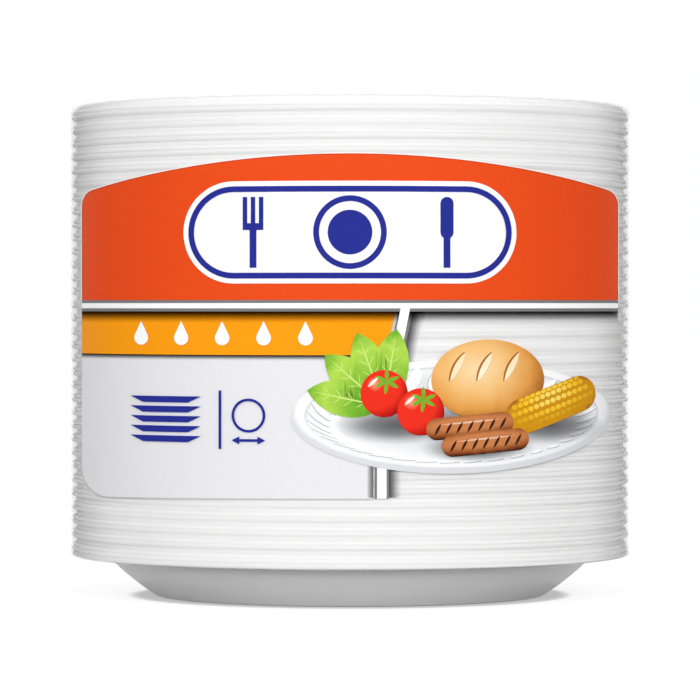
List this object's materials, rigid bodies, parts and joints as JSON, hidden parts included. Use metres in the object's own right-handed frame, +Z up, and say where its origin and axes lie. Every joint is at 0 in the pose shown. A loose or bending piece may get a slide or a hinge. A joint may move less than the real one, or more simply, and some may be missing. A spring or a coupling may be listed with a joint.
{
  "type": "wrapped stack of foam plates",
  "caption": "Tall nested stack of round white foam plates in clear shrink film, with a wide printed front of orange, amber and pale grey fields; the lowest plate's shallow belly shows below.",
  "frame": {"origin": "centre of the lowest plate's flat base, on the surface that the stack stands on", "axes": "+Z up through the stack, -Y out of the printed front, +X to the right as seen from the front"},
  "size_m": [0.2264, 0.2273, 0.1976],
  "materials": {
    "foam": "satin white polystyrene foam skin",
    "clear_film": "clear glossy shrink film",
    "ink_orange": "orange-red ink on film",
    "ink_amber": "amber ink on film",
    "ink_pale": "pale grey ink on film",
    "ink_grey": "grey ink on film",
    "ink_white": "white ink on film",
    "ink_blue": "blue ink on film",
    "ink_food": "mixed food-coloured inks on film"
  },
  "bodies": {
    "root": {"plates_01_02": "foam", "plates_03_04": "foam", "plates_05_06": "foam", "plates_07_08": "foam", "plates_09_10": "foam", "plates_11_12": "foam", "plates_13_14": "foam", "plates_15_16": "foam", "plates_17_18": "foam", "plates_19_20": "foam", "plates_21_22": "foam", "plates_23_24": "foam", "plates_25_26": "foam", "plates_27_28": "foam", "plates_29_30": "foam", "plates_31_32": "foam", "plates_33_34": "foam", "plates_35_36": "foam", "plates_37_38": "foam", "plates_39_40": "foam", "plates_41_42": "foam", "plates_43_44": "foam", "plates_45_46": "foam", "plates_47_48": "foam", "plates_49_50": "foam", "plates_51_52": "foam", "plates_53_54": "foam", "plates_55_56": "foam", "plates_57_58": "foam", "plates_59_60": "foam", "plates_61_62": "foam", "plates_63_64": "foam", "plates_65_66": "foam", "plates_67_68": "foam", "plates_69_70": "foam", "plates_71_72": "foam", "plates_73_74": "foam", "plates_75_76": "foam", "plates_77_78": "foam", "plates_79_80": "foam", "plates_81_82": "foam", "plates_83_84": "foam", "plates_85_86": "foam", "plates_87_88": "foam", "plates_89_90": "foam", "plates_91_92": "foam", "plates_93_94": "foam", "plates_95_96": "foam", "plates_97_98": "foam", "plates_99_100": "foam", "film": "clear_film", "print_header": "ink_orange", "print_band": "ink_amber", "print_panel": "ink_pale", "print_rules": "ink_grey", "print_badge": "ink_white", "print_marks_white": "ink_white", "print_marks_blue": "ink_blue", "print_picture_plate": "ink_white", "print_picture_food": "ink_food"}
  },
  "joints": []
}
